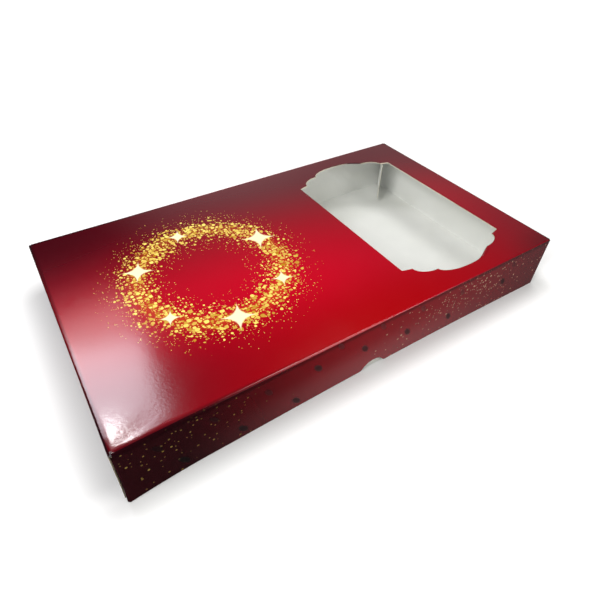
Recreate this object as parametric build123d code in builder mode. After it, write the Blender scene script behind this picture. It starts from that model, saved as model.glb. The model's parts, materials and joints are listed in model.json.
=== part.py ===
from build123d import *
import os

# Sweet box of folded board: a printed lid with a shaped window slides down over a plain tray.
# Millimetres, +Z up. The origin is the middle of the footprint, on the table.
# +X runs along the length to the window's end, and -Y is the front long side.

# Closed box, outside
box_length = 305.0
box_width = 178.0
box_height = 40.0

# Board and its folds
board = 0.5
fold_radius = 1.0  # outside radius of a crease folded to a right angle
quarter_turn = 90  # degrees that a crease is folded by, and that a window's arc turns

# Lid over tray
table_gap = 0.5  # the lid's walls end this far above the table
lid_play = 2.0  # gap between the lid's inside and the tray, on each side
rim_gap = 0.5  # gap between the tray's rim and the lid's top panel

# Thumb notches in the lower edges of the lid's long walls
notch_width = 17.0
notch_depth = 6.0
notch_flare = 3.0  # radius that eases each side of the mouth

# Window, whose straight sides run across the box
window_width = 88.8
window_side_margin = 23.2  # from the window's right side to the box's right end
window_end_margin = 12.8  # from the tops of its arches to the box's long sides
window_shift = -1.9  # the window sits this far off the centre line
ear_length = 7.2  # from an ear's tip to the notch beside it
ear_step = 1.7  # the notch lies this much beyond the tips
lobe_rise = 8.5
cusp_half = 23.0  # half the width of the middle arch, between its cusps
arch_rise = 7.5

# Clear film glued under the window
film = 0.2
film_lap = 6.0

# Corner flaps, which carry on from the long walls and fold inside the short walls
flap_length = 41.0
flap_slant = 5.0  # the end leans back by this much towards the panel
flap_rise = 3.0  # the edge next to the panel tapers away from it by this much
flap_root_relief = 1.5
flap_edge_relief = 0.5

# The unglued flap at the tray's back right corner
loose_flap_angle = 41.0  # degrees away from the right wall
loose_flap_clearance = 0.35  # between its crease and both walls of the corner

# Worked out from the above
lid_wall_depth = box_height - table_gap
tray_height = box_height - board - rim_gap
tray_length = box_length - 2 * (2 * board + lid_play)
tray_width = box_width - 2 * (board + lid_play)


def fold_section(corner, inward, onward, depth):
    """Section of a panel's edge folded round a crease into a wall.

    corner is where the two outside faces would meet. inward points across the panel,
    onward along the wall to its free edge, depth away.
    """
    across = Vector(*inward)
    with BuildSketch(Plane(origin=corner, x_dir=across, z_dir=across.cross(Vector(*onward)))) as section:
        with BuildLine():
            Polyline((board, fold_radius), (board, depth), (0, depth), (0, fold_radius))
            outer_bend = CenterArc((fold_radius, fold_radius), fold_radius, 2 * quarter_turn, quarter_turn)
            Line(outer_bend @ 1, (fold_radius, board))
            CenterArc((fold_radius, fold_radius), fold_radius - board, 2 * quarter_turn, quarter_turn)
        make_face()
    return section.sketch


def flap_outline(plane, depth):
    """Cut outline of a corner flap, x along the flap from its crease, y along the wall's depth."""
    with BuildSketch(plane) as outline:
        with BuildLine():
            Polyline(
                (0, flap_root_relief),
                (flap_length - flap_slant, flap_root_relief + flap_rise),
                (flap_length, depth - flap_edge_relief),
                (0, depth - flap_edge_relief),
                close=True,
            )
        make_face()
    return outline.sketch


# Window outline: straight sides, an ear at each corner, then a lobe, a cusp and the middle arch
window_reach = box_width / 2 - window_end_margin
window_place = (box_length / 2 - window_side_margin - window_width / 2, window_shift)
notch_half = window_width / 2 - ear_length
lobe_length = notch_half - cusp_half
arch_foot = window_reach - arch_rise
notch_reach = arch_foot - lobe_rise
with BuildSketch() as window_outline:
    with BuildLine():
        window_side = Line((window_width / 2, 0), (window_width / 2, notch_reach - ear_step))
        Line(window_side @ 1, (notch_half, notch_reach))
        EllipticalCenterArc((cusp_half, notch_reach), lobe_length, lobe_rise, 0, arc_size=quarter_turn)
        EllipticalCenterArc((0, arch_foot), cusp_half, arch_rise, 0, arc_size=quarter_turn)
        mirror(about=Plane.YZ)
        mirror(about=Plane.XZ)
    make_face()

# Lid: top panel
with BuildPart() as lid_top_panel:
    with BuildSketch(Plane.XY.offset(box_height - board)):
        Rectangle(box_length - 2 * fold_radius, box_width - 2 * fold_radius)
        with Locations(window_place):
            add(window_outline.sketch, mode=Mode.SUBTRACT)
    extrude(amount=board)
lid_top_panel.part.label = "lid_top_panel"

# Lid: long walls, each with a thumb notch in the middle of its lower edge
lid_long_half = box_length / 2 - board - fold_radius
with BuildPart() as lid_front_wall:
    front_crease = fold_section((0, -box_width / 2, box_height), (0, 1, 0), (0, 0, -1), lid_wall_depth)
    extrude(front_crease, amount=lid_long_half, both=True)
    with BuildSketch(Plane(origin=(0, -box_width / 2, table_gap), x_dir=(1, 0, 0), z_dir=(0, -1, 0))):
        with BuildLine():
            notch_arc = ThreePointArc((-notch_width / 2, 0), (0, notch_depth), (notch_width / 2, 0))
            Line(notch_arc @ 1, notch_arc @ 0)
        make_face()
    extrude(amount=-board, mode=Mode.SUBTRACT)
    lower_corners = lid_front_wall.edges().filter_by(Axis.Y).group_by(Axis.Z)[0].sort_by(Axis.X)
    fillet(lower_corners[1:-1], radius=notch_flare)
lid_front_wall.part.label = "lid_front_wall"

with BuildPart() as lid_back_wall:
    mirror(lid_front_wall.part, about=Plane.XZ)
lid_back_wall.part.label = "lid_back_wall"

# Lid: short walls, cut a fold's radius short of the corners, so that their raw edges show there
with BuildPart() as lid_left_wall:
    left_crease = fold_section((-box_length / 2, 0, box_height), (1, 0, 0), (0, 0, -1), lid_wall_depth)
    extrude(left_crease, amount=box_width / 2 - fold_radius, both=True)
lid_left_wall.part.label = "lid_left_wall"

with BuildPart() as lid_right_wall:
    mirror(lid_left_wall.part, about=Plane.YZ)
lid_right_wall.part.label = "lid_right_wall"

# Lid: corner flaps glued inside the short walls
lid_flap_face = box_length / 2 - board
with BuildPart() as lid_flap_front_left:
    lid_flap_corner = (-lid_flap_face, -box_width / 2, table_gap)
    lid_flap_crease = fold_section(lid_flap_corner, (1, 0, 0), (0, 1, 0), flap_length)
    extrude(lid_flap_crease, amount=lid_wall_depth)
    lid_flap_plane = Plane(
        origin=(-lid_flap_face, -box_width / 2, box_height), x_dir=(0, 1, 0), z_dir=(-1, 0, 0)
    )
    extrude(
        flap_outline(lid_flap_plane, lid_wall_depth),
        amount=2 * fold_radius,
        both=True,
        mode=Mode.INTERSECT,
    )
lid_flap_front_left.part.label = "lid_flap_front_left"

with BuildPart() as lid_flap_back_left:
    mirror(lid_flap_front_left.part, about=Plane.XZ)
lid_flap_back_left.part.label = "lid_flap_back_left"

with BuildPart() as lid_flap_front_right:
    mirror(lid_flap_front_left.part, about=Plane.YZ)
lid_flap_front_right.part.label = "lid_flap_front_right"

with BuildPart() as lid_flap_back_right:
    mirror(lid_flap_back_left.part, about=Plane.YZ)
lid_flap_back_right.part.label = "lid_flap_back_right"

# Lid: clear film glued under the top panel round the window
with BuildPart() as window_film:
    with BuildSketch(Plane.XY.offset(box_height - board - film)):
        with Locations(window_place):
            Rectangle(window_width + 2 * film_lap, 2 * (window_reach + film_lap))
    extrude(amount=film)
window_film.part.label = "window_film"

# Tray: floor
with BuildPart() as base_floor:
    with BuildSketch():
        Rectangle(tray_length - 2 * fold_radius, tray_width - 2 * fold_radius)
    extrude(amount=board)
base_floor.part.label = "base_floor"

# Tray: long walls. The back one carries on to the corner where the loose flap hangs
tray_long_half = tray_length / 2 - board - fold_radius
with BuildPart() as base_front_wall:
    tray_front_crease = fold_section((0, -tray_width / 2, 0), (0, 1, 0), (0, 0, 1), tray_height)
    extrude(tray_front_crease, amount=tray_long_half, both=True)
base_front_wall.part.label = "base_front_wall"

with BuildPart() as base_back_wall:
    mirror(base_front_wall.part, about=Plane.XZ)
    extrude(base_back_wall.faces().sort_by(Axis.X)[-1], amount=fold_radius)
base_back_wall.part.label = "base_back_wall"

# Tray: short walls
with BuildPart() as base_left_wall:
    tray_left_crease = fold_section((-tray_length / 2, 0, 0), (1, 0, 0), (0, 0, 1), tray_height)
    extrude(tray_left_crease, amount=tray_width / 2 - fold_radius, both=True)
base_left_wall.part.label = "base_left_wall"

with BuildPart() as base_right_wall:
    mirror(base_left_wall.part, about=Plane.YZ)
base_right_wall.part.label = "base_right_wall"

# Tray: three corner flaps glued inside the short walls
tray_flap_face = tray_length / 2 - board
with BuildPart() as base_flap_front_left:
    tray_flap_corner = (-tray_flap_face, -tray_width / 2, 0)
    tray_flap_crease = fold_section(tray_flap_corner, (1, 0, 0), (0, 1, 0), flap_length)
    extrude(tray_flap_crease, amount=tray_height)
    tray_flap_plane = Plane(origin=tray_flap_corner, x_dir=(0, 1, 0), z_dir=(1, 0, 0))
    extrude(
        flap_outline(tray_flap_plane, tray_height),
        amount=2 * fold_radius,
        both=True,
        mode=Mode.INTERSECT,
    )
base_flap_front_left.part.label = "base_flap_front_left"

with BuildPart() as base_flap_back_left:
    mirror(base_flap_front_left.part, about=Plane.XZ)
base_flap_back_left.part.label = "base_flap_back_left"

with BuildPart() as base_flap_front_right:
    mirror(base_flap_front_left.part, about=Plane.YZ)
base_flap_front_right.part.label = "base_flap_front_right"

# Tray: the fourth flap, never glued, stands out from the corner and swings on its crease
hinge_inset = board + loose_flap_clearance + board / 2
hinge_place = (tray_length / 2 - hinge_inset, tray_width / 2 - hinge_inset)
with BuildPart() as loose_corner_flap:
    along_flap = Vector(0, -1, 0).rotate(Axis.Z, -loose_flap_angle)
    loose_flap_plane = Plane(
        origin=(*hinge_place, 0), x_dir=along_flap, z_dir=along_flap.cross(Vector(0, 0, 1))
    )
    extrude(flap_outline(loose_flap_plane, tray_height), amount=board / 2, both=True)
    with BuildSketch(Plane.XY.offset(flap_root_relief)):
        with Locations(hinge_place):
            Circle(board / 2)
    extrude(amount=tray_height - flap_edge_relief - flap_root_relief)
loose_corner_flap.part.label = "loose_corner_flap"

pieces = [
    lid_top_panel,
    lid_front_wall,
    lid_back_wall,
    lid_left_wall,
    lid_right_wall,
    lid_flap_front_left,
    lid_flap_back_left,
    lid_flap_front_right,
    lid_flap_back_right,
    window_film,
    base_floor,
    base_front_wall,
    base_back_wall,
    base_left_wall,
    base_right_wall,
    base_flap_front_left,
    base_flap_back_left,
    base_flap_front_right,
    loose_corner_flap,
]
os.makedirs("parts", exist_ok=True)
for piece in pieces:
    export_step(piece.part, f"parts/{piece.part.label}.step")
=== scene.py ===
import json
import bpy
import numpy as np
from mathutils import Matrix, Quaternion, Vector


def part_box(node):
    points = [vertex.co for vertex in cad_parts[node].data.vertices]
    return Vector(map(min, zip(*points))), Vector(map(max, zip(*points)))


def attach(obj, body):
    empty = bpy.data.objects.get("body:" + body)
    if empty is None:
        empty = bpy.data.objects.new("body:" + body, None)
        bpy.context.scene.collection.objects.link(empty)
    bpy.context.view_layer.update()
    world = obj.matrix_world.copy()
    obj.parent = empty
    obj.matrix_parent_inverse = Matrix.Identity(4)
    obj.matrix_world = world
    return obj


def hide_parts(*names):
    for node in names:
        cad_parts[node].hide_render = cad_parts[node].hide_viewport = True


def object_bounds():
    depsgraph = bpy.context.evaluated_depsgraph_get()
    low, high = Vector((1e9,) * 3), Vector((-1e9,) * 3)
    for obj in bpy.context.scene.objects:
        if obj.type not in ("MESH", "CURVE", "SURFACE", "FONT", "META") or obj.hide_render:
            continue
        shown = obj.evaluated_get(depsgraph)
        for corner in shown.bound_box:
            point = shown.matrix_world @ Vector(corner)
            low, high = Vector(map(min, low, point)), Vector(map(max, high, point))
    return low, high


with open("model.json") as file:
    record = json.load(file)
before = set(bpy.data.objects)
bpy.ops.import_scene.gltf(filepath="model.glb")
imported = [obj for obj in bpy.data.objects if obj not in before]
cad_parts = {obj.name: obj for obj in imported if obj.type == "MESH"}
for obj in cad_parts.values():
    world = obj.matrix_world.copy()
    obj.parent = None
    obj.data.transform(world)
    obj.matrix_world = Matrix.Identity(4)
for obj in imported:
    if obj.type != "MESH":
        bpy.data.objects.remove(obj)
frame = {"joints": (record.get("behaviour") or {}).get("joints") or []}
cad_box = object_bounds()
MM = 0.001

# Camera: it stands off the box's front left corner and looks down along the lid,
# turned a little about its own line of sight.
camera_azimuth, camera_elevation, camera_roll = np.radians([-33.962, 42.891, 1.553])
camera_target = Vector((-17.502, -31.932, 20.0)) * MM
camera_distance = 302.973 * MM
camera_back = Vector(
    (
        np.sin(camera_azimuth) * np.cos(camera_elevation),
        -np.cos(camera_azimuth) * np.cos(camera_elevation),
        np.sin(camera_elevation),
    )
)
camera_data = bpy.data.cameras.new("camera")
camera_data.lens = 28.133
camera_data.sensor_width = 36.0
camera_data.clip_start = 10 * MM
camera = bpy.data.objects.new("camera", camera_data)
bpy.context.scene.collection.objects.link(camera)
camera_turn = camera_back.to_track_quat("Z", "Y") @ Quaternion((0, 0, 1), camera_roll)
camera.matrix_world = Matrix.LocRotScale(
    camera_target + camera_distance * camera_back, camera_turn, (1, 1, 1)
)
bpy.context.scene.camera = camera
bpy.context.scene.view_settings.view_transform = "Standard"


# Floor: a plain white sheet under the box. It glows so that it comes out white, and the glow is
# held back near the box, which paints the soft shadow along the box's left and front sides.
def paint(red, green, blue):
    """A colour picked on screen, 0 to 255, as linear values with alpha 1."""
    share = np.array([red, green, blue]) / 255
    linear = np.where(share > 0.04045, ((share + 0.055) / 1.055) ** 2.4, share / 12.92)
    return (*(float(c) for c in linear), 1.0)


def add(tree, kind, inputs=None, **settings):
    """Put a node in the tree. Each input takes a value, or the output socket that feeds it."""
    made = tree.nodes.new(kind)
    for key, value in settings.items():
        setattr(made, key, value)
    for key, value in (inputs or {}).items():
        if isinstance(value, bpy.types.NodeSocket):
            tree.links.new(value, made.inputs[key])
        else:
            made.inputs[key].default_value = value
    return made


def sum_of(tree, operation, first, second=0.0, third=0.0):
    """One Math node, and its result."""
    inputs = {0: first, 1: second, 2: third}
    return add(tree, "ShaderNodeMath", inputs, operation=operation).outputs[0]


def vector_of(tree, operation, first, second=(0, 0, 0)):
    """One Vector Math node, and its result: a number for a length or a distance."""
    made = add(tree, "ShaderNodeVectorMath", {0: first, 1: second}, operation=operation)
    return made.outputs["Value" if operation in ("LENGTH", "DISTANCE") else "Vector"]


def span(tree, value, start, end, low=0.0, high=1.0, curve="SMOOTHSTEP"):
    """A step from low, where the value is at start, to high, where it is at end."""
    inputs = {"Value": value, 1: start, 2: end, 3: low, 4: high}
    return add(tree, "ShaderNodeMapRange", inputs, interpolation_type=curve).outputs[0]


def bare_material(name):
    """A material with an empty node tree and its output."""
    made = bpy.data.materials.new(name)
    made.use_nodes = True
    made.node_tree.nodes.clear()
    return made, made.node_tree, add(made.node_tree, "ShaderNodeOutputMaterial")


def surface_object(name, points, faces, materials):
    """A mesh object at the origin from arrays of points and faces, smooth shaded."""
    mesh = bpy.data.meshes.new(name)
    mesh.from_pydata(points.reshape(-1, 3), [], faces.tolist())
    mesh.shade_smooth()
    for material in materials:
        mesh.materials.append(material)
    made = bpy.data.objects.new(name, mesh)
    bpy.context.scene.collection.objects.link(made)
    return made


def grid_faces(index):
    """Quads over a grid of point numbers, each (i, j), (i+1, j), (i+1, j+1), (i, j+1)."""
    corners = [index[:-1, :-1], index[1:, :-1], index[1:, 1:], index[:-1, 1:]]
    return np.stack(corners, axis=-1).reshape(-1, 4)


floor_reach = 3.0
# Formula: a point at radius reach * s and angle a, for s and a on a grid.
floor_share, floor_angle = np.meshgrid(np.linspace(0, 1, 24) ** 2, np.linspace(0, 2 * np.pi, 73))
floor_x = floor_reach * floor_share * np.cos(floor_angle)
floor_y = floor_reach * floor_share * np.sin(floor_angle)
floor_points = np.stack([floor_x, floor_y, np.zeros_like(floor_share)], axis=-1)
floor_material, tree, output = bare_material("white_sweep")
place = add(tree, "ShaderNodeTexCoord").outputs["Object"]
path = add(tree, "ShaderNodeLightPath")
parts = add(tree, "ShaderNodeSeparateXYZ", {0: place})
# How far a place lies outside the box's footprint: the length of what its distances from the
# middle have over the footprint's half sizes.
half_sizes = (*cad_box[1][:2], 0)
beyond = vector_of(tree, "SUBTRACT", vector_of(tree, "ABSOLUTE", place), half_sizes)
off = vector_of(tree, "LENGTH", vector_of(tree, "MAXIMUM", beyond))
# The sheet's own light: none at the walls, more over the first centimetres and again over the next
# decimetres, so that a painted shadow lies round the box. There is more of it in front of the box,
# and less close beside its left end, where the painted shadow is deeper.
near_lift = span(tree, off, 1 * MM, 23 * MM, 0.0, 0.45)
far_lift = span(tree, off, 50 * MM, 300 * MM, 0.0, 0.6)
front_lift = span(tree, parts.outputs["Y"], -89 * MM, -75 * MM, 0.15, 0.0)
left_painted_shadow = span(tree, parts.outputs["X"], -170 * MM, -150 * MM, -0.09, 0.0)
left_share = span(tree, off, 20 * MM, 70 * MM, 1.0, 0.0)
lift = sum_of(tree, "ADD", near_lift, far_lift)
lift = sum_of(tree, "ADD", lift, front_lift)
lift = sum_of(tree, "ADD", lift, sum_of(tree, "MULTIPLY", left_painted_shadow, left_share))
seen = sum_of(tree, "MAXIMUM", path.outputs["Is Camera Ray"], path.outputs["Is Transmission Ray"])
diffuse = add(tree, "ShaderNodeBsdfDiffuse", {"Color": paint(206, 206, 206)})
lit = add(tree, "ShaderNodeEmission", {"Strength": sum_of(tree, "MULTIPLY", seen, lift)})
both = add(tree, "ShaderNodeAddShader", {0: diffuse.outputs[0], 1: lit.outputs[0]})
# In gloss the table shows only a painted reflection, a glow that is dim at the box's left end,
# pale at its right end, and palest close to the middle of the front wall.
painted_reflection = span(tree, parts.outputs["X"], -110 * MM, 160 * MM, 0.02, 0.16)
beside = sum_of(tree, "ABSOLUTE", parts.outputs["X"])
painted_reflection_front = span(tree, parts.outputs["Y"], -106 * MM, -90 * MM, 0.0, 0.26)
painted_reflection_front = sum_of(tree, "MULTIPLY", painted_reflection_front, span(tree, beside, 0.0, 140 * MM, 1.0, 0.0))
gloss = add(tree, "ShaderNodeEmission", {"Strength": sum_of(tree, "ADD", painted_reflection, painted_reflection_front)})
shown = add(
    tree,
    "ShaderNodeMixShader",
    {0: path.outputs["Is Glossy Ray"], 1: both.outputs[0], 2: gloss.outputs[0]},
)
tree.links.new(shown.outputs[0], output.inputs["Surface"])
floor_index = np.arange(floor_share.size).reshape(floor_share.shape)
floor = surface_object("floor", floor_points, grid_faces(floor_index)[:, ::-1], [floor_material])


# Studio: a white sweep stands low all round the table, and it is dark overhead but for three
# wide soft lamps and a softbox behind the left end, whose glare lies on the near corner. A
# dimmer skirt hangs over the softbox, and a small bright lamp glints in that corner.
def soft_lamp(name, aim, direction, distance, size, level, turn=0.0, colour=(1, 1, 1)):
    """A lamp seen from aim along direction. Its level is what it adds to a white card at aim."""
    towards = Vector(direction).normalized()
    data = bpy.data.lights.new(name, "AREA")
    data.shape = "RECTANGLE"
    data.size, data.size_y = size
    data.energy = level * (np.pi * distance) ** 2
    data.color = colour
    lamp = bpy.data.objects.new(name, data)
    lamp.matrix_world = Matrix.LocRotScale(
        Vector(aim) + distance * towards,
        towards.to_track_quat("Z", "Y") @ Quaternion((0, 0, 1), turn),
        (1, 1, 1),
    )
    bpy.context.scene.collection.objects.link(lamp)


near_corner, box_middle = (-0.145, -0.080, 0.040), (0, 0, 0.02)
soft_lamp(
    "softbox",
    near_corner,
    (-0.046, 0.43, 0.455),
    0.65,
    (0.25, 0.15),
    0.24,
    turn=np.radians(-12),
    colour=(0.97, 0.95, 1.05),
)
for name, aim, direction, distance, size, level in (
    ("softbox_skirt", near_corner, (-0.030, 0.575, 0.470), 0.77, (0.25, 0.075), 0.026),
    ("corner_glint", near_corner, (-0.040, 0.580, 0.811), 0.6, (0.04, 0.05), 0.062),
    ("overhead_lamp", box_middle, (0.33, 0.15, 0.93), 0.9, (0.35, 0.35), 0.29),
    ("left_lamp", (0.1, 0, 0.02), (-0.75, -0.20, 0.63), 0.8, (0.30, 0.30), 0.52),
    ("front_lamp", box_middle, (0.45, -0.65, 0.61), 0.9, (0.40, 0.40), 0.24),
):
    soft_lamp(name, aim, direction, distance, size, level)


def ramp(tree, value, stops):
    """A smooth curve through (place, height) stops, read at a value."""
    made = add(tree, "ShaderNodeValToRGB", {0: value})
    made.color_ramp.interpolation = "EASE"
    points = made.color_ramp.elements
    while len(points) < len(stops):
        points.new(0.5)
    for point, (at, height) in zip(points, stops):
        point.position = at
        point.color = (height, height, height, 1.0)
    return made.outputs[0]


world = bpy.data.worlds.new("studio")
world.use_nodes = True
bpy.context.scene.world = world
tree = world.node_tree
tree.nodes.clear()
# What the gloss sees round the table: a pale sweep, brightest behind the box and a little to its
# right, that fades out by 45 degrees up. The heights are sines, and the bearing goes from 0 on
# the left to 1 on the right.
direction = add(tree, "ShaderNodeTexCoord").outputs["Generated"]
parts = add(tree, "ShaderNodeSeparateXYZ", {0: direction})
level = vector_of(tree, "LENGTH", vector_of(tree, "MULTIPLY", direction, (1, 1, 0)))
bearing = sum_of(tree, "DIVIDE", parts.outputs["X"], level)
bearing = sum_of(tree, "MULTIPLY_ADD", bearing, 0.5, 0.5)
height_stops = ((0.42, 0.9), (0.50, 0.60), (0.54, 0.26), (0.60, 0.10), (0.70, 0.0))
bearing_stops = (
    (0.40, 0.03), (0.55, 0.02), (0.65, 0.78), (0.70, 0.80), (0.84, 0.42), (0.93, 0.30)
)
by_height = ramp(tree, parts.outputs["Z"], height_stops)
by_bearing = ramp(tree, bearing, bearing_stops)
path = add(tree, "ShaderNodeLightPath")
seen = sum_of(tree, "MAXIMUM", path.outputs["Is Camera Ray"], path.outputs["Is Transmission Ray"])
sweep = sum_of(tree, "MULTIPLY", by_height, by_bearing)
fill = sum_of(tree, "MULTIPLY_ADD", path.outputs["Is Diffuse Ray"], 0.15, sweep)
tint = add(
    tree,
    "ShaderNodeMix",
    {0: path.outputs["Is Diffuse Ray"], 6: (1, 1, 1, 1), 7: (1.06, 1.0, 0.84, 1)},
    data_type="RGBA",
)
background = add(
    tree,
    "ShaderNodeBackground",
    {"Color": tint.outputs[2], "Strength": sum_of(tree, "MAXIMUM", seen, fill)},
)
tree.links.new(background.outputs[0], add(tree, "ShaderNodeOutputWorld").inputs["Surface"])


# Board: half a millimetre of folding carton. It is printed and laminated on one face, white on
# the other, and shows its raw cream edge wherever it was cut.
def shader_group(name, inputs, outputs):
    """A node group with named inputs and outputs. Returns it with its input and output nodes."""
    group = bpy.data.node_groups.new(name, "ShaderNodeTree")
    for label, kind in inputs.items():
        group.interface.new_socket(label, in_out="INPUT", socket_type=kind)
    for label, kind in outputs.items():
        group.interface.new_socket(label, in_out="OUTPUT", socket_type=kind)
    return group, add(group, "NodeGroupInput"), add(group, "NodeGroupOutput")


def place_group(tree, group, inputs):
    """A node that uses the group, with its inputs set or fed."""
    return add(tree, "ShaderNodeGroup", inputs, node_tree=group)


def noise(tree, place, scale, detail):
    """Noise from 0 to 1, with scale as its features to a metre."""
    inputs = {"Vector": place, "Scale": scale, "Detail": detail}
    return add(tree, "ShaderNodeTexNoise", inputs).outputs["Fac"]


def print_over(tree, below, mask, colour):
    """The colour printed over what is below, by the mask."""
    mixed = add(tree, "ShaderNodeMix", {0: mask, 6: below, 7: colour}, data_type="RGBA")
    return mixed.outputs[2]


# Pulp: fibres a few tenths of a millimetre wide lie in every direction in the sheet, and the
# sheet is a little cloudy over centimetres.
pulp, taken, given = shader_group(
    "pulp",
    {"Place": "NodeSocketVector", "Depth": "NodeSocketFloat"},
    {"Cloud": "NodeSocketFloat", "Normal": "NodeSocketVector"},
)
fibres = noise(pulp, taken.outputs["Place"], 2600.0, 3.0)
clouds = noise(pulp, taken.outputs["Place"], 45.0, 3.0)
cloud = sum_of(pulp, "MULTIPLY_ADD", fibres, 0.5, sum_of(pulp, "MULTIPLY", clouds, 0.5))
bumps = add(
    pulp,
    "ShaderNodeBump",
    {"Height": fibres, "Strength": taken.outputs["Depth"], "Distance": 0.02 * MM},
)
pulp.links.new(cloud, given.inputs["Cloud"])
pulp.links.new(bumps.outputs[0], given.inputs["Normal"])


def board_material(name, dark, light, roughness, depth, band=None):
    """Unprinted board: it goes from dark to light with the pulp's clouds. A band is a colour laid
    over it, and the two heights between which it comes in."""
    made, tree, output = bare_material(name)
    place = add(tree, "ShaderNodeTexCoord").outputs["Object"]
    pulp_here = place_group(tree, pulp, {"Place": place, "Depth": depth})
    tone = span(tree, pulp_here.outputs["Cloud"], 0.35, 0.65, curve="LINEAR")
    colour = print_over(tree, dark, tone, light)
    if band:
        band_colour, heights = band
        rise = add(tree, "ShaderNodeSeparateXYZ", {0: place}).outputs["Z"]
        colour = print_over(tree, colour, span(tree, rise, *heights), band_colour)
    shader = add(
        tree,
        "ShaderNodeBsdfPrincipled",
        {
            "Base Color": colour,
            "Roughness": roughness,
            "Specular IOR Level": 0.35,
            "Normal": pulp_here.outputs["Normal"],
        },
    )
    tree.links.new(shader.outputs[0], output.inputs["Surface"])
    return made


white_board = board_material("white_board", paint(228, 229, 224), paint(236, 237, 232), 0.62, 0.05)
raw_edge = board_material("raw_edge", paint(196, 190, 168), paint(222, 217, 200), 0.85, 0.5)


def board_piece(name, outer, inner, materials, body, slot, nodes, creases, ring=False):
    """A piece of board between two grids of points, outer and inner, with its cut edge round it.

    The materials are the outer face's, the inner face's and the cut edge's. creases tells which
    runs of the edge join the next panel instead and take the outer face's material: the first
    column, the last row, the last column and the first row. A ring closes on itself along its
    first direction and has only the two columns. Faces turn to point from inner to outer.
    """
    rows, columns = outer.shape[:2]
    index = np.arange(rows * columns).reshape(rows, columns)
    if ring:
        index = np.concatenate([index, index[:1]])
        rims = [index[:, 0], index[::-1, -1]]
    else:
        rims = [index[:, 0], index[-1], index[::-1, -1], index[0, ::-1]]
    skin = grid_faces(index)
    starts = np.concatenate([rim[:-1] for rim in rims])
    ends = np.concatenate([rim[1:] for rim in rims])
    under = rows * columns
    edge = np.stack([ends, starts, starts + under, ends + under], axis=-1)
    points = np.concatenate([outer.reshape(-1, 3), inner.reshape(-1, 3)])
    # The edge has points of its own, so that the faces' smooth shading stops at it.
    points = np.concatenate([points, points[edge].reshape(-1, 3)])
    edge = np.arange(edge.size).reshape(edge.shape) + 2 * under
    faces = np.concatenate([skin, skin[:, ::-1] + under, edge])
    middle = skin[len(skin) // 2]
    facing = np.cross(points[middle[1]] - points[middle[0]], points[middle[2]] - points[middle[1]])
    if facing @ (points[middle[0]] - points[middle[0] + under]) < 0:
        faces = faces[:, ::-1]
    piece = surface_object(name, points, faces, materials)
    runs = [len(rim) - 1 for rim in rims]
    kinds = np.repeat([0, 1] + [0 if crease else 2 for crease in creases], [len(skin)] * 2 + runs)
    piece.data.polygons.foreach_set("material_index", kinds)
    piece.data.polygons.foreach_set("use_smooth", np.arange(len(faces)) < 2 * len(skin))
    piece.data.validate()
    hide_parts(*nodes)
    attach(piece, body)


# Gloss print: the lid's outer face goes from dark maroon at its rim to bright red in its middle,
# and gloss film is laminated over it, which leaves a fine orange peel, drawn out a little the way
# that the film was rolled on.
peel, taken, given = shader_group(
    "laminate_peel",
    {"Place": "NodeSocketVector", "Depth": "NodeSocketFloat"},
    {"Normal": "NodeSocketVector", "Roughness": "NodeSocketFloat"},
)
rolling_turn, rolling_stretch = np.radians(-34), 1.8
streaked = add(
    peel,
    "ShaderNodeMapping",
    {
        "Vector": taken.outputs["Place"],
        "Rotation": (0, 0, rolling_turn),
        "Scale": (rolling_stretch, 1, 1),
    },
    vector_type="TEXTURE",
)
fine = noise(peel, streaked.outputs[0], 950.0, 2.0)
wide = noise(peel, taken.outputs["Place"], 240.0, 1.0)
height = sum_of(peel, "MULTIPLY_ADD", wide, 0.25, fine)
bumps = add(
    peel,
    "ShaderNodeBump",
    {"Height": height, "Strength": taken.outputs["Depth"], "Distance": 0.080 * MM},
)
scuffs = noise(peel, taken.outputs["Place"], 60.0, 4.0)
glossiest, dullest = 0.135, 0.155
gloss = span(peel, scuffs, 0.3, 0.7, glossiest, dullest, curve="LINEAR")
peel.links.new(bumps.outputs[0], given.inputs["Normal"])
peel.links.new(gloss, given.inputs["Roughness"])

# Red fade: the share of bright red falls off smoothly with the distance from a centre, measured in
# an ellipse's radii.
fade, taken, given = shader_group(
    "red_fade",
    {"Place": "NodeSocketVector", "Centre": "NodeSocketVector", "Reach": "NodeSocketVector"},
    {"Share": "NodeSocketFloat"},
)
offset = vector_of(fade, "SUBTRACT", taken.outputs["Place"], taken.outputs["Centre"])
radius = vector_of(fade, "LENGTH", vector_of(fade, "DIVIDE", offset, taken.outputs["Reach"]))
fade.links.new(span(fade, radius, 0.0, 1.0, 1.0, 0.0), given.inputs["Share"])

# Gold flecks: one fleck to a cell of a jittered grid. A cell keeps its fleck if its own random
# number is under the cover there, and a second random number sets the fleck's size.
flecks, taken, given = shader_group(
    "gold_flecks",
    {
        "Place": "NodeSocketVector",
        "Cells": "NodeSocketFloat",
        "Size": "NodeSocketFloat",
        "Cover": "NodeSocketFloat",
    },
    {"Mask": "NodeSocketFloat", "Tone": "NodeSocketFloat"},
)
cells = add(
    flecks,
    "ShaderNodeTexVoronoi",
    {
        "Vector": taken.outputs["Place"],
        "Scale": taken.outputs["Cells"],
        "Exponent": 2.6,
        "Randomness": 0.85,
    },
    voronoi_dimensions="2D",
    distance="MINKOWSKI",
)
draws = add(flecks, "ShaderNodeSeparateColor", {0: cells.outputs["Color"]})
kept = sum_of(flecks, "LESS_THAN", draws.outputs["Red"], taken.outputs["Cover"])
smallest = 0.35  # the smallest fleck's share of the size
girth = sum_of(flecks, "MULTIPLY_ADD", draws.outputs["Green"], 1 - smallest, smallest)
girth = sum_of(flecks, "MULTIPLY", girth, taken.outputs["Size"])
inside = sum_of(flecks, "SUBTRACT", girth, cells.outputs["Distance"])
soft_rim = (-0.02, 0.05)
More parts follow.
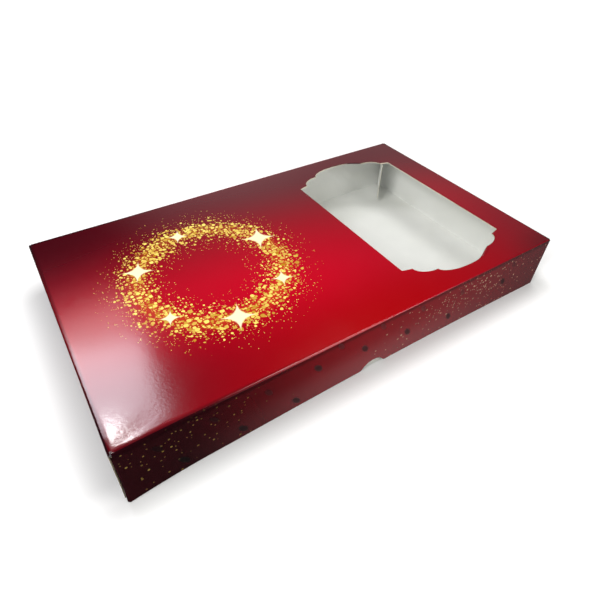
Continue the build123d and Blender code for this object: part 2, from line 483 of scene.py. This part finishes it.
inside = span(flecks, inside, *soft_rim, curve="LINEAR")
flecks.links.new(sum_of(flecks, "MULTIPLY", inside, kept), given.inputs["Mask"])
flecks.links.new(draws.outputs["Blue"], given.inputs["Tone"])

# Sparkle: a star with four long hollow arms and four short ones between them. A point is in the
# arms if the roots of its two distances from the arms' lines add up to less than the size's root.
sparkle, taken, given = shader_group(
    "sparkle",
    {"Place": "NodeSocketVector", "Centre": "NodeSocketVector", "Size": "NodeSocketFloat"},
    {"Mask": "NodeSocketFloat"},
)
offset = vector_of(sparkle, "SUBTRACT", taken.outputs["Place"], taken.outputs["Centre"])
offset = add(
    sparkle,
    "ShaderNodeVectorMath",
    {0: offset, "Scale": sum_of(sparkle, "DIVIDE", 1.0, taken.outputs["Size"])},
    operation="SCALE",
)
star = None
first_arm, short_arm = 0.35, 0.62  # the turn of the first arm, and the short ones' share
for turn, share in ((first_arm, 1.0), (first_arm + np.pi / 4, short_arm)):
    turned = add(
        sparkle,
        "ShaderNodeVectorRotate",
        {"Vector": offset.outputs[0], "Angle": turn},
        rotation_type="Z_AXIS",
    )
    across = add(sparkle, "ShaderNodeSeparateXYZ", {0: turned.outputs[0]})
    roots = [
        sum_of(sparkle, "POWER", sum_of(sparkle, "ABSOLUTE", across.outputs[axis]), 0.5)
        for axis in ("X", "Y")
    ]
    reach = sum_of(sparkle, "SUBTRACT", share, sum_of(sparkle, "ADD", *roots))
    star = reach if star is None else sum_of(sparkle, "MAXIMUM", star, reach)
soft_rim = (-0.05, 0.08)
sparkle.links.new(span(sparkle, star, *soft_rim, curve="LINEAR"), given.inputs["Mask"])

bright_red = paint(196, 4, 34)
front_red = paint(165, 0, 4)
maroon = paint(91, 4, 20)
dark_maroon = paint(34, 2, 8)
bright_gold = (paint(186, 130, 22), paint(255, 236, 118))
olive_gold = (paint(88, 66, 38), paint(150, 130, 66))
cream = (paint(160, 96, 84), paint(232, 190, 158))
pale_gold = paint(255, 244, 200)
warm_orange = paint(236, 120, 20)


def gold_over(tree, below, place, cells_per_metre, size, cover, tones):
    """Gold flecks printed over what is below, from the darker to the brighter of two tones."""
    inputs = {"Place": place, "Cells": cells_per_metre, "Size": size, "Cover": cover}
    made = place_group(tree, flecks, inputs)
    dark, bright = tones
    gold = print_over(tree, dark, made.outputs["Tone"], bright)
    return print_over(tree, below, made.outputs["Mask"], gold)


def laminate(tree, output, colour, place, depth, worn):
    """Gloss film over the print, with the orange peel's normal. Where it is worn it is rougher."""
    wear_roughness = 0.45
    made = place_group(tree, peel, {"Place": place, "Depth": depth})
    roughness = sum_of(tree, "MULTIPLY_ADD", worn, wear_roughness, made.outputs["Roughness"])
    shader = add(
        tree,
        "ShaderNodeBsdfPrincipled",
        {
            "Base Color": colour,
            "Roughness": roughness,
            "IOR": 1.6,
            "Normal": made.outputs["Normal"],
        },
    )
    tree.links.new(shader.outputs[0], output.inputs["Surface"])


# Lid's top panel: one flat panel, printed with a ring of gold confetti and a few sparkles, with
# the shaped window cut through it. It joins the walls at creases on all four sides.
panel_low, panel_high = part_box("lid_top_panel")
board = panel_high.z - panel_low.z
lid_top = panel_high.z
lid_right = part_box("lid_right_wall")[1].x
lid_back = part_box("lid_back_wall")[1].y
fold_radius = lid_right - panel_high.x

window_half_length = 44.4 * MM
window_middle = (84.9 * MM, -1.9 * MM)
arch_half = 23.0 * MM
ear_length = 7.2 * MM
ear_reach = 58.5 * MM
ear_step = 1.7 * MM
lobe_rise = 8.5 * MM
arch_rise = 7.5 * MM
wave_height, wave_drop = 0.22 * MM, 0.25 * MM
trough_depth, trough_half_width, trough_reach = 0.15 * MM, 3.5 * MM, 26 * MM
trough_angle = np.radians(26)
crease_dip, crease_dip_width, crease_dip_reach = 0.19 * MM, 2.4 * MM, 90 * MM


def lid_settle(points):
    """How the lid's board has settled: gentle waves over decimetres, a shallow fold that runs in
    from the near left corner, and a dip along the creases of the left end.

    The shift is straight down, in full at the top and none at the table: a product of two sines
    of radians to a metre, less a Gaussian trough that fades with its distance along, less a
    parabola over the last millimetres before the panel's edge.
    """
    x, y, z = np.moveaxis(points, -1, 0)
    waves = wave_height * np.sin(17 * x + 9 * y + 0.6) * np.sin(21 * y - 6 * x + 1.1)
    from_x, from_y = x + lid_right, y + lid_back
    along = from_x * np.cos(trough_angle) + from_y * np.sin(trough_angle)
    across = from_y * np.cos(trough_angle) - from_x * np.sin(trough_angle)
    trough = np.exp(-((across / trough_half_width) ** 2)) * np.exp(-((along / trough_reach) ** 2))
    to_edge = np.minimum(panel_high.x - np.abs(x), panel_high.y - np.abs(y))
    dip = crease_dip * np.clip(1 - from_x / crease_dip_reach, 0, 1)
    dip = dip * np.clip(1 - np.maximum(to_edge, 0) / crease_dip_width, 0, 1) ** 2
    shift = (waves - wave_drop - trough_depth * trough - dip) * np.clip(z / lid_top, 0, 1)
    return points + np.stack([0 * x, 0 * y, shift], axis=-1)


def window_outline(samples):
    """The window's outline as four runs of points round it, from the right ear of the front end.

    The long sides are straight. Each end is an ear, a step to a notch, a quarter ellipse up to the
    cusp, and half an ellipse over the middle, then the same the other way.
    """
    notch_half = window_half_length - ear_length
    notch_reach = ear_reach + ear_step
    turn = np.linspace(0, np.pi / 2, samples)
    lobe_x = arch_half + (notch_half - arch_half) * np.cos(turn)
    lobe = np.stack([lobe_x, notch_reach + lobe_rise * np.sin(turn)], axis=-1)
    turn = np.linspace(0, np.pi, 2 * samples)[1:-1]
    arch_y = notch_reach + lobe_rise + arch_rise * np.sin(turn)
    arch = np.stack([arch_half * np.cos(turn), arch_y], axis=-1)
    ear = np.linspace((window_half_length, ear_reach), (notch_half, notch_reach), 6)[:-1]
    half_end = np.concatenate([ear, lobe])
    back_end = np.concatenate([half_end, arch, half_end[::-1] * (-1, 1)])
    side = np.linspace((window_half_length, -ear_reach), (window_half_length, ear_reach), 40)
    return [side[:-1], back_end[:-1], -side[:-1], -back_end[:-1]]


def window_ring(samples, columns):
    """The top panel as a ring: from the window's outline straight out to the panel's edge.

    Each run of the outline goes to one side of the panel, by its share of the run's length. The
    last columns follow the panel's edge, for the dip along the creases.
    """
    low, high = np.array(panel_low[:2]), np.array(panel_high[:2])
    corners = np.where([(1, 0), (1, 1), (0, 1), (0, 0)], high, low)
    inner, outer = [], []
    for number, run in enumerate(window_outline(samples)):
        steps = np.linalg.norm(np.diff(run, axis=0), axis=1)
        share = np.concatenate([[0], np.cumsum(steps)]) / (steps.sum() + steps[-1])
        start, end = corners[number], corners[(number + 1) % 4]
        inner.append(run + window_middle)
        outer.append(start + share[:, None] * (end - start))
    inner, outer = np.concatenate(inner), np.concatenate(outer)
    insets = crease_dip_width * np.array([1.0, 0.75, 0.5, 0.3, 0.15, 0.0])
    edge = [np.clip(outer, low + inset, high - inset) for inset in insets]
    share = np.linspace(0, 1, columns)[None, :, None]
    main = inner[:, None] * (1 - share) + edge[0][:, None] * share
    return np.concatenate([main, np.stack(edge[1:], axis=1)], axis=1)


ring = window_ring(16, 64)
heights = np.full(ring.shape[:2] + (1,), lid_top)
under_face = lid_settle(np.concatenate([ring, heights], axis=-1)) - np.array([0, 0, board])
# The knife leaves the window's upper edge drawn back a little, square to the outline, so that the
# raw edge shows from above as a thin pale line.
knife_draw = 0.45 * MM
heading = np.roll(ring[:, 0], -1, axis=0) - np.roll(ring[:, 0], 1, axis=0)
heading /= np.linalg.norm(heading, axis=1, keepdims=True)
ring[:, 0] += knife_draw * heading[:, ::-1] * (1, -1)
top_face = lid_settle(np.concatenate([ring, heights], axis=-1))
# The panel's four corners are drawn out and down over the corners between the creases.
corner_out, corner_down, slack = 0.8 * MM, 1.1 * MM, 0.01 * MM
at_sides = np.abs(ring[:, -1]) > np.array(panel_high[:2]) - slack
corner_way = np.where(at_sides, np.sign(ring[:, -1]), 0)
at_corner = np.abs(corner_way).sum(axis=1) == 2
for face in (top_face, under_face):
    face[at_corner, -1, :2] += corner_out * corner_way[at_corner]
    face[at_corner, -1, 2] -= corner_down


def top_patch(tree, place, middle, reach):
    """The red fade's share round a middle on the lid's top, with both given in millimetres."""
    inputs = {
        "Place": place,
        "Centre": (middle[0] * MM, middle[1] * MM, lid_top),
        "Reach": (reach[0] * MM, reach[1] * MM, 1.0),
    }
    return place_group(tree, fade, inputs).outputs["Share"]


top_print, tree, output = bare_material("top_print")
place = add(tree, "ShaderNodeTexCoord").outputs["Object"]
colour = print_over(tree, maroon, top_patch(tree, place, (-54, -45), (292, 129)), bright_red)
# The strip beside the window is brighter, the front edge purer red, and three corners darker.
for middle, reach, most, ink in (
    ((132, 3), (52, 77), 0.27, bright_red),
    ((-10, -88), (190, 60), 0.9, front_red),
    ((-152, -69), (160, 79), 0.69, dark_maroon),
    ((-152, 89), (130, 88), 0.62, dark_maroon),
    ((155, -92), (50, 28), 0.45, dark_maroon),
):
    share = sum_of(tree, "MULTIPLY", top_patch(tree, place, middle, reach), most)
    colour = print_over(tree, colour, share, ink)

# Dark maroon over the creases at the left end: partly the print, partly painted shade where the
# fold's gloss turns away from the lamps.
parts = add(tree, "ShaderNodeSeparateXYZ", {0: place})
run, width = parts.outputs["X"], parts.outputs["Y"]
to_side = sum_of(tree, "SUBTRACT", panel_high.x, sum_of(tree, "ABSOLUTE", run))
to_front = sum_of(tree, "SUBTRACT", panel_high.y, sum_of(tree, "ABSOLUTE", width))
rim = span(tree, sum_of(tree, "MINIMUM", to_side, to_front), 0.4 * MM, 1.8 * MM, 0.5, 0.0)
rim = sum_of(tree, "MULTIPLY", rim, span(tree, run, -120 * MM, 0.0, 1.0, 0.0))
colour = print_over(tree, colour, rim, dark_maroon)
# The panel's corners are dark maroon and matt.
corner = span(tree, sum_of(tree, "MAXIMUM", to_side, to_front), 0.3 * MM, 1.6 * MM, 1.0, 0.0)
colour = print_over(tree, colour, corner, dark_maroon)

# The confetti's ring: its cover falls off to both sides of a circle, wider for the dust.
wreath_middle = (-62 * MM, 2 * MM, lid_top)
wreath_radius = 45 * MM
radius = vector_of(tree, "LENGTH", vector_of(tree, "SUBTRACT", place, wreath_middle))
off_ring = sum_of(tree, "ABSOLUTE", sum_of(tree, "SUBTRACT", radius, wreath_radius))
glow = span(tree, off_ring, 0.0, 9 * MM, 0.16, 0.0, curve="SMOOTHERSTEP")
colour = print_over(tree, colour, glow, warm_orange)
for cells_per_metre, size, cover, width in (
    (1100.0, 0.33, 0.28, 27 * MM),
    (520.0, 0.45, 0.75, 17 * MM),
    (330.0, 0.50, 1.0, 13 * MM),
):
    covered = span(tree, off_ring, 0.0, width, cover, 0.0, curve="LINEAR")
    colour = gold_over(tree, colour, place, cells_per_metre, size, covered, bright_gold)
# Sparkles: where they stand on the circle, in degrees, and their sizes in millimetres
for degrees, size in ((20, 13), (95, 8), (150, 11), (215, 7), (265, 12), (320, 8)):
    turn = np.radians(degrees)
    centre = (
        wreath_middle[0] + wreath_radius * np.cos(turn),
        wreath_middle[1] + wreath_radius * np.sin(turn),
        lid_top,
    )
    star = place_group(tree, sparkle, {"Place": place, "Centre": centre, "Size": size * MM})
    colour = print_over(tree, colour, star.outputs["Mask"], pale_gold)
top_peel, wall_peel = 0.34, 0.04
laminate(tree, output, colour, place, top_peel, corner)

board_piece(
    "top_board",
    top_face,
    under_face,
    [top_print, white_board, raw_edge],
    "lid",
    "printed_board",
    ["lid_top_panel"],
    (False, True),
    ring=True,
)

# Lid's walls: each is folded down from the top panel round a crease. The long ones have a thumb
# notch, and their lower edges have bowed in by the middle and flared out at the left end.
table_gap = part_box("lid_front_wall")[0].z
notch_half_width, notch_depth, notch_flare = 8.5 * MM, 6.0 * MM, 3.0 * MM
# A crease's quarter circle as seven angles, then for the outer and the inner face its radius and
# how far the flat part lies in from the outside
crease_turn = np.linspace(0, np.pi / 2, 7)
crease_faces = ((fold_radius, 0.0), (fold_radius - board, board))
flare_out, flare_share, sag_in = 2.7 * MM, 0.17, 1.5 * MM
short_bow, corner_gap = 0.3 * MM, 0.45 * MM
lean_out, lean_along_front, lean_along_left = 1.5 * MM, 60 * MM, 50 * MM


def notch_height(x):
    """Height of a thumb notch over the wall's lower edge: the top of a circle, and an easing
    circle of the flare's radius that meets it and the straight edge at a tangent."""
    radius = (notch_half_width**2 + notch_depth**2) / (2 * notch_depth)
    drop = radius - notch_depth
    mouth = np.sqrt((radius + notch_flare) ** 2 - (drop + notch_flare) ** 2)
    meeting = mouth * radius / (radius + notch_flare)
    off = np.abs(x)
    circle = np.sqrt(np.maximum(radius**2 - off**2, 0)) - drop
    easing = notch_flare - np.sqrt(np.maximum(notch_flare**2 - (mouth - off) ** 2, 0))
    return np.where(off < meeting, circle, np.where(off < mouth, easing, 0))


def folded_wall(corner, along, inward, onward, runs, depths, rows):
    """A wall folded from its panel's edge: a quarter circle round the crease, then straight down.

    runs are the places along the wall, and depths its depth at each. Returns the outer and the
    inner face, each point corner + run * along + in * inward + down * onward.
    """
    share = np.linspace(0, 1, rows)[1:]
    faces = []
    for bend, offset in crease_faces:
        bend_in = np.tile(fold_radius - bend * np.sin(crease_turn), (len(runs), 1))
        bend_down = np.tile(fold_radius - bend * np.cos(crease_turn), (len(runs), 1))
        down = fold_radius + share[None, :] * (depths[:, None] - fold_radius)
        step_in = np.concatenate([bend_in, np.full_like(down, offset)], axis=1)
        step_down = np.concatenate([bend_down, down], axis=1)
        faces.append(
            np.array(corner)
            + runs[:, None, None] * np.array(along)
            + step_in[..., None] * np.array(inward)
            + step_down[..., None] * np.array(onward)
        )
    return faces


def long_wall_bow(points):
    """How far a long wall's lower edge stands out of its plane: a flare that dies out a sixth of
    the way along, then half a sine inwards. It grows from the crease down to the lower edge."""
    share = (points[..., 0] + lid_right) / (2 * lid_right)
    flare = flare_out * np.clip(1 - share / flare_share, 0, 1) ** 2
    sag = sag_in * np.sin(np.pi * np.clip((share - flare_share) / (1 - flare_share), 0, 1))
    return (flare - sag) * np.clip(1 - points[..., 2] / lid_top, 0, 1) ** 1.2


def short_wall_bow(points):
    """How far a short wall's lower edge stands out of its plane: half a sine outwards."""
    share = (points[..., 1] + lid_back) / (2 * lid_back)
    return short_bow * np.sin(np.pi * share) * np.clip(1 - points[..., 2] / lid_top, 0, 1)


def corner_lean(points, gap):
    """How far the near left corner leans out to the left: the cube of the drop from the crease,
    times squares that die out along both walls. The left wall also stands off the corner's fold
    halfway down by a gap, as half a sine, and the gap shows dark."""
    x, y, z = np.moveaxis(points, -1, 0)
    along_front = np.clip(1 - (x + lid_right) / lean_along_front, 0, 1)
    along_left = np.clip(1 - (y + lid_back) / lean_along_left, 0, 1)
    drop = np.clip(1 - z / lid_top, 0, 1)
    return (lean_out * drop**3 + gap * np.sin(np.pi * drop)) * (along_front * along_left) ** 2


def pushed(points, axis, amount):
    """The points moved along one axis."""
    moved = points.copy()
    moved[..., axis] += amount
    return moved


# Side print: dark maroon at the left, redder by the middle and duller again to the right, with a
# dark line along the crease, a row of dots that rises and falls, and drifts of gold sprinkles.
# The dots' places are millimetres from the wall's left end and up from the table.
dark_dots = (
    (30, 8.4), (63, 7.8), (96.4, 7.1), (110, 26.7), (143, 22.7), (177, 17.6), (214.5, 11.3),
    (263.6, 19.8),
)
faint_dots = (
    (19.6, 28), (48.3, 28.2), (79, 27.7), (124.5, 36), (154.4, 35), (186, 33), (220.6, 30),
    (269, 32.5),
)
dark_dot, faint_dot, dot_shear = 2.7 * MM, 2.5 * MM, 0.8
dark_cover, faint_cover = 0.94, 0.45
end_maroon, line_red = paint(48, 10, 16), paint(104, 3, 13)
dot_maroon, dot_red = paint(20, 2, 3), paint(76, 3, 11)


def dot_mask(tree, run, rise, dots, radius):
    """How near a place is to its nearest dot: 1 inside, 0 outside, with a soft rim. A dot is an
    ellipse: distances are taken once the wall is sheared upwards along its length."""
    sheared = sum_of(tree, "MULTIPLY_ADD", run, dot_shear, rise)
    flat = add(tree, "ShaderNodeCombineXYZ", {"X": run, "Y": sheared}).outputs[0]
    nearest = None
    for from_left, up in dots:
        dot_run = from_left * MM - lid_right
        middle = (dot_run, up * MM + dot_shear * dot_run, 0)
        gap = vector_of(tree, "DISTANCE", flat, middle)
        nearest = gap if nearest is None else sum_of(tree, "MINIMUM", nearest, gap)
    return span(tree, nearest, 0.6 * radius, 1.35 * radius, 1.0, 0.0)


def side_print(name, axis, redden, dull, reddest, drifts, dotted):
    """The print on two opposite walls. axis runs along them, redden and dull are where the print
    turns to its reddest and back, and drifts are sprinkles, most of them high up: middle, reach,
    cells, size, cover and tones. A dotted print has matt dots and a bright line on the fold."""
    made, tree, output = bare_material(name)
    place = add(tree, "ShaderNodeTexCoord").outputs["Object"]
    parts = add(tree, "ShaderNodeSeparateXYZ", {0: place})
    run, rise = parts.outputs[axis], parts.outputs["Z"]
    flat = add(tree, "ShaderNodeCombineXYZ", {"X": run, "Y": rise}).outputs[0]
    share = sum_of(tree, "MULTIPLY", span(tree, run, *redden), span(tree, run, *dull, 1.0, 0.0))
    colour = print_over(tree, end_maroon, share, reddest)
    for middle, reach, cells_per_metre, size, cover, tones in drifts:
        off = sum_of(tree, "ABSOLUTE", sum_of(tree, "SUBTRACT", run, middle))
        drift = span(tree, off, 0.0, reach, cover, 0.0)
        drift = sum_of(tree, "MULTIPLY", drift, span(tree, rise, 2 * MM, 30 * MM, 0.25, 1.0))
        colour = gold_over(tree, colour, flat, cells_per_metre, size, drift, tones)
    below = sum_of(tree, "SUBTRACT", lid_top, rise)
    line_ink = print_over(tree, dark_maroon, share, line_red)
    line = span(tree, below, 2.0 * MM, 4.8 * MM, 0.9, 0.0)
    colour = print_over(tree, colour, line, line_ink)
    dots = 0.0
    if dotted:
        faint = dot_mask(tree, run, rise, faint_dots, faint_dot)
        faint = sum_of(tree, "MULTIPLY", faint, faint_cover)
        dark = dot_mask(tree, run, rise, dark_dots, dark_dot)
        dark = sum_of(tree, "MULTIPLY", dark, dark_cover)
        dots = sum_of(tree, "MAXIMUM", faint, dark)
        dot_ink = print_over(tree, dot_maroon, share, dot_red)
        colour = print_over(tree, colour, dots, dot_ink)
        fold = sum_of(tree, "MULTIPLY", share, span(tree, below, 0.4 * MM, 1.0 * MM, 0.75, 0.0))
        colour = print_over(tree, colour, fold, bright_red)
    laminate(tree, output, colour, place, wall_peel, dots)
    return made


long_wall_red, short_wall_red = paint(149, 14, 26), paint(92, 8, 18)
long_print = side_print(
    "long_wall_print",
    "X",
    (-125 * MM, 0.0),
    (10 * MM, 240 * MM),
    long_wall_red,
    (
        (-125 * MM, 70 * MM, 480.0, 0.31, 0.27, olive_gold),
        (75 * MM, 95 * MM, 460.0, 0.31, 0.42, cream),
    ),
    True,
)
short_print = side_print(
    "short_wall_print",
    "Y",
    (-80 * MM, 0.0),
    (0.0, 90 * MM),
    short_wall_red,
    ((-20 * MM, 90 * MM, 340.0, 0.36, 0.24, cream),),
    False,
)

# The walls' cut edges are darker than the window's, with dark maroon over their top couple of
# millimetres below the crease.
darkened_edge = board_material(
    "darkened_edge",
    paint(140, 126, 98),
    paint(184, 172, 144),
    0.85,
    0.5,
    (dark_maroon, (lid_top - 2.5 * MM, lid_top - 1.5 * MM)),
)
long_materials = [long_print, white_board, darkened_edge]
short_materials = [short_print, white_board, darkened_edge]
# Places along a long wall, close together over the thumb notch
long_half = lid_right - board - fold_radius
notch_run = 11 * MM
long_runs = np.concatenate(
    [
        np.linspace(-long_half, -notch_run, 60)[:-1],
        np.linspace(-notch_run, notch_run, 67),
        np.linspace(notch_run, long_half, 60)[1:],
    ]
)
for name, side in (("front", -1), ("back", 1)):
    sheet_faces = folded_wall(
        (0, side * lid_back, lid_top),
        (1, 0, 0),
        (0, -side, 0),
        (0, 0, -1),
        long_runs,
        lid_top - table_gap - notch_height(long_runs),
        rows=20,
    )
    bowed = [
        lid_settle(pushed(pushed(face, 0, -corner_lean(face, 0)), 1, side * long_wall_bow(face)))
        for face in sheet_faces
    ]
    board_piece(
        f"{name}_board",
        *bowed,
        long_materials,
        "lid",
        "printed_board",
        [f"lid_{name}_wall"],
        (True, True, False, True),
    )

short_half = lid_back - fold_radius
short_runs = np.linspace(-short_half, short_half, 60)
for name, side in (("left", -1), ("right", 1)):
    sheet_faces = folded_wall(
        (side * lid_right, 0, lid_top),
        (0, 1, 0),
        (-side, 0, 0),
        (0, 0, -1),
        short_runs,
        np.full_like(short_runs, lid_top - table_gap),
        rows=20,
    )
    bowed = [
        lid_settle(pushed(face, 0, side * short_wall_bow(face) - corner_lean(face, corner_gap)))
        for face in sheet_faces
    ]
    board_piece(
        f"{name}_board",
        *bowed,
        short_materials,
        "lid",
        "printed_board",
        [f"lid_{name}_wall"],
        (True, False, False, False),
    )

# Lid's corner flaps: each carries on from an end of a long wall round an upright crease, and is
# glued inside the short wall. Its end leans back, and its edges clear the panel and the table.
flap_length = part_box("lid_flap_front_left")[1].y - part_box("lid_flap_front_left")[0].y
flap_slant, flap_rise, root_relief, edge_relief = 5.0 * MM, 3.0 * MM, 1.5 * MM, 0.5 * MM
slant_power = 6  # a flap's grid leans back by this power of the share of its length


def corner_flap(corner, inward, onward, panel_height, free_height):
    """A corner flap as two faces. corner is where the long wall's and the short wall's planes
    would meet, inward points along the long wall, onward along the flap.

    The fold is an upright quarter circle. The edge next to the panel goes from the root relief
    to the rise at the slanted end, and all heights are shares between the two edges.
    """
    lengths = np.linspace(0, 1, 24)
    heights = np.linspace(0, 1, 12)
    up = 1 if free_height > panel_height else -1
    faces = []
    for bend, offset in crease_faces:
        bend_in = fold_radius - bend * np.sin(crease_turn)
        bend_on = fold_radius - bend * np.cos(crease_turn)
        step_in = np.concatenate([bend_in, np.full(len(lengths) - 1, offset)])
        step_on = fold_radius + lengths[1:] * (flap_length - fold_radius)
        step_on = np.concatenate([bend_on, step_on])
        share = np.clip(step_on / flap_length, 0, 1)
        low = panel_height + up * (root_relief + flap_rise * share)
        high = np.full_like(low, free_height - up * edge_relief)
        lean = flap_slant * share**slant_power
        z = low[:, None] + heights[None, :] * (high - low)[:, None]
        on = step_on[:, None] - lean[:, None] * (1 - heights[None, :])
        faces.append(
            np.array(corner)
            + step_in[:, None, None] * np.array(inward)
            + on[..., None] * np.array(onward)
            + z[..., None] * np.array((0, 0, 1))
        )
    return faces


for end, side_x in (("left", -1), ("right", 1)):
    for side, side_y in (("front", -1), ("back", 1)):
        sheet_faces = corner_flap(
            (side_x * (lid_right - board), side_y * lid_back, 0),
            (-side_x, 0, 0),
            (0, -side_y, 0),
            lid_top,
            table_gap,
        )
        # A flap follows the short wall's bow, and the long wall's less and less along its length.
        bowed = []
        for face in sheet_faces:
            hold = np.clip(1 - (lid_back - np.abs(face[..., 1])) / flap_length, 0, 1)
            moved = pushed(face, 0, side_x * short_wall_bow(face) - corner_lean(face, 0))
            bowed.append(lid_settle(pushed(moved, 1, side_y * long_wall_bow(face) * hold)))
        board_piece(
            f"{side}_{end}_lid_flap",
            *bowed,
            short_materials,
            "lid",
            "printed_board",
            [f"lid_flap_{side}_{end}"],
            (False, False, False, True),
        )

# Window film: thin clear film glued to the panel's under side all round the window, so clear
# that only a faint gloss shows.
clear_film, tree, output = bare_material("clear_film")
haze = noise(tree, add(tree, "ShaderNodeTexCoord").outputs["Object"], 30.0, 2.0)
clearest, dimmest = 0.02, 0.05
alpha = span(tree, haze, 0.3, 0.7, clearest, dimmest, curve="LINEAR")
shader = add(
    tree,
    "ShaderNodeBsdfPrincipled",
    {"Base Color": paint(235, 240, 242), "Roughness": 0.08, "Alpha": alpha},
)
tree.links.new(shader.outputs[0], output.inputs["Surface"])


def level_sheet(low, high, height, columns, rows):
    """A flat grid of points over a box's footprint, at one height."""
    x, y = np.meshgrid(
        np.linspace(low.x, high.x, columns), np.linspace(low.y, high.y, rows), indexing="ij"
    )
    return np.stack([x, y, np.full_like(x, height)], axis=-1)


film_low, film_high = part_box("window_film")
film_top = lid_settle(level_sheet(film_low, film_high, film_high.z, 30, 40))
board_piece(
    "film",
    film_top,
    film_top - np.array([0, 0, film_high.z - film_low.z]),
    [clear_film, clear_film, clear_film],
    "lid",
    "clear_film",
    ["window_film"],
    (False, False, False, False),
)

# Tray: plain white board, folded up on all four sides, a little smaller than the lid all round.
# Its floor lies on the table.
tray_materials = [white_board, white_board, raw_edge]
tray_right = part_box("base_right_wall")[1].x
tray_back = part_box("base_back_wall")[1].y
tray_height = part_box("base_front_wall")[1].z
tray_give = 0.5 * MM
tray_under = level_sheet(*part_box("base_floor"), 0.0, 50, 30)
board_piece(
    "tray_floor",
    tray_under,
    tray_under + np.array([0, 0, board]),
    tray_materials,
    "tray",
    "white_board",
    ["base_floor"],
    (True, True, True, True),
)


def tray_bow(points):
    """A long wall of the tray gives way inwards by a little at its free rim, as half a sine."""
    share = (points[..., 0] + tray_right) / (2 * tray_right)
    return -tray_give * np.sin(np.pi * share) * np.clip(points[..., 2] / tray_height, 0, 1)


tray_long_half = tray_right - board - fold_radius
for name, side, extra in (("front", -1, 0.0), ("back", 1, fold_radius)):
    runs = np.linspace(-tray_long_half, tray_long_half + extra, 80)
    sheet_faces = folded_wall(
        (0, side * tray_back, 0),
        (1, 0, 0),
        (0, -side, 0),
        (0, 0, 1),
        runs,
        np.full_like(runs, tray_height),
        rows=16,
    )
    bowed = [pushed(face, 1, side * tray_bow(face)) for face in sheet_faces]
    board_piece(
        f"tray_{name}",
        *bowed,
        tray_materials,
        "tray",
        "white_board",
        [f"base_{name}_wall"],
        (True, True, False, True),
    )
for name, side in (("left", -1), ("right", 1)):
    runs = np.linspace(-(tray_back - fold_radius), tray_back - fold_radius, 50)
    sheet_faces = folded_wall(
        (side * tray_right, 0, 0),
        (0, 1, 0),
        (-side, 0, 0),
        (0, 0, 1),
        runs,
        np.full_like(runs, tray_height),
        rows=16,
    )
    board_piece(
        f"tray_{name}",
        *sheet_faces,
        tray_materials,
        "tray",
        "white_board",
        [f"base_{name}_wall"],
        (True, False, False, False),
    )

# Tray's corner flaps: white board, carried on from the ends of the long walls. Three of them are
# glued inside the short walls, as the lid's are.
for side, end, side_y, side_x in (
    ("front", "left", -1, -1),
    ("back", "left", 1, -1),
    ("front", "right", -1, 1),
):
    sheet_faces = corner_flap(
        (side_x * (tray_right - board), side_y * tray_back, 0),
        (-side_x, 0, 0),
        (0, -side_y, 0),
        0,
        tray_height,
    )
    board_piece(
        f"{side}_{end}_tray_flap",
        *sheet_faces,
        tray_materials,
        "tray",
        "white_board",
        [f"base_flap_{side}_{end}"],
        (False, False, False, True),
    )

# Loose flap: the tray's fourth corner flap was never glued. It stands out from the corner on its
# crease, with a slight curl.
hinge = next(joint for joint in frame["joints"] if joint["name"] == "loose_flap_swing")
hinge_x, hinge_y = hinge["pos_m"][:2]
loose_low, loose_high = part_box("loose_corner_flap")
loose_tip = np.array([loose_low.x, loose_low.y])
loose_along = loose_tip - (hinge_x, hinge_y)
loose_along /= np.linalg.norm(loose_along)
loose_across = np.array([loose_along[1], -loose_along[0]])
share = np.linspace(0, 1, 30)[:, None]
rise = np.linspace(0, 1, 16)[None, :]
low = root_relief + flap_rise * share
height = low + rise * (loose_high.z - low)
run = flap_length * share - flap_slant * share**slant_power * (1 - rise)
curl_out, curl_low = 0.2 * MM, 0.4
# Formula: half a sine along the flap, full at its upper edge and less at its lower one.
curl = curl_out * np.sin(np.pi * share) * (curl_low + (1 - curl_low) * rise)
loose_faces = []
for offset in (-board / 2, board / 2):
    x, y = [
        place + run * on + (curl + offset) * out
        for place, on, out in zip((hinge_x, hinge_y), loose_along, loose_across)
    ]
    loose_faces.append(np.stack([x, y, height], axis=-1))
board_piece(
    "loose_flap_board",
    *loose_faces,
    tray_materials,
    "loose_flap",
    "white_board",
    ["loose_corner_flap"],
    (False, False, False, True),
)
